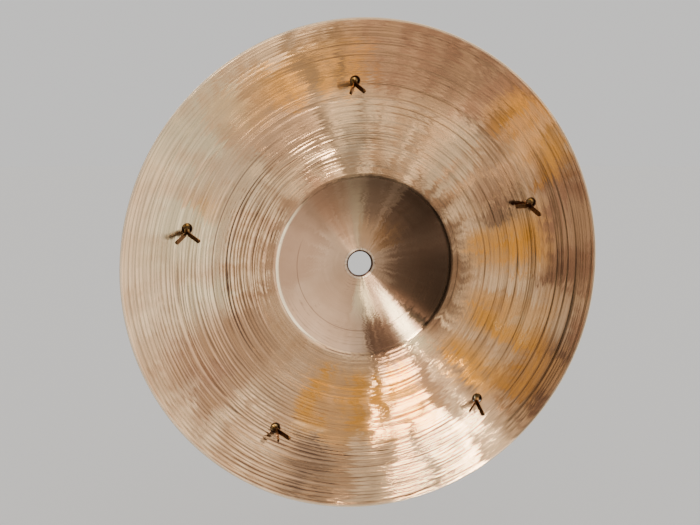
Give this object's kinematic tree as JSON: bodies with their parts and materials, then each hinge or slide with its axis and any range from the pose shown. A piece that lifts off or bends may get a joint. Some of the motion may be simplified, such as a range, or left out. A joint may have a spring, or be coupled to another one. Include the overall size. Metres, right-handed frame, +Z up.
{
  "type": "sizzle splash cymbal",
  "caption": "Small round bronze sizzle cymbal with a domed bell, a mounting hole and loose split rivets round its bow.",
  "frame": {"origin": "middle of the centre hole, halfway through the plate", "axes": "+Y out of the bell, along the centre hole; +Z up as the cymbal hangs on edge from the hole; +X to the right, seen from the hollow side"},
  "size_m": [0.254, 0.0331, 0.254],
  "materials": {
    "bell_bronze": "lathed, with fine concentric grooves and faint hammer marks",
    "rivet_brass": "worn polished brass"
  },
  "bodies": {
    "plate": {"cymbal_plate": "bell_bronze"},
    "loose_rivet_1": {"rivet_1": "rivet_brass"},
    "loose_rivet_2": {"rivet_2": "rivet_brass"},
    "loose_rivet_3": {"rivet_3": "rivet_brass"},
    "loose_rivet_4": {"rivet_4": "rivet_brass"},
    "loose_rivet_5": {"rivet_5": "rivet_brass"}
  },
  "joints": [
    {"name": "rivet_1_hop", "type": "slide", "parent": "plate", "child": "loose_rivet_1", "axis": [0.094, 0.8939, 0.4384], "range_m": [0, 0.0025]},
    {"name": "rivet_2_hop", "type": "slide", "parent": "plate", "child": "loose_rivet_2", "axis": [0.4584, 0.827, 0.3256], "range_m": [0, 0.0025]},
    {"name": "rivet_3_hop", "type": "slide", "parent": "plate", "child": "loose_rivet_3", "axis": [0.3346, 0.8716, 0.3584], "range_m": [0, 0.0025]},
    {"name": "rivet_4_hop", "type": "slide", "parent": "plate", "child": "loose_rivet_4", "axis": [-0.172, 0.9752, 0.1392], "range_m": [0, 0.0025]},
    {"name": "rivet_5_hop", "type": "slide", "parent": "plate", "child": "loose_rivet_5", "axis": [0.0311, 0.8905, 0.454], "range_m": [0, 0.0025]}
  ]
}
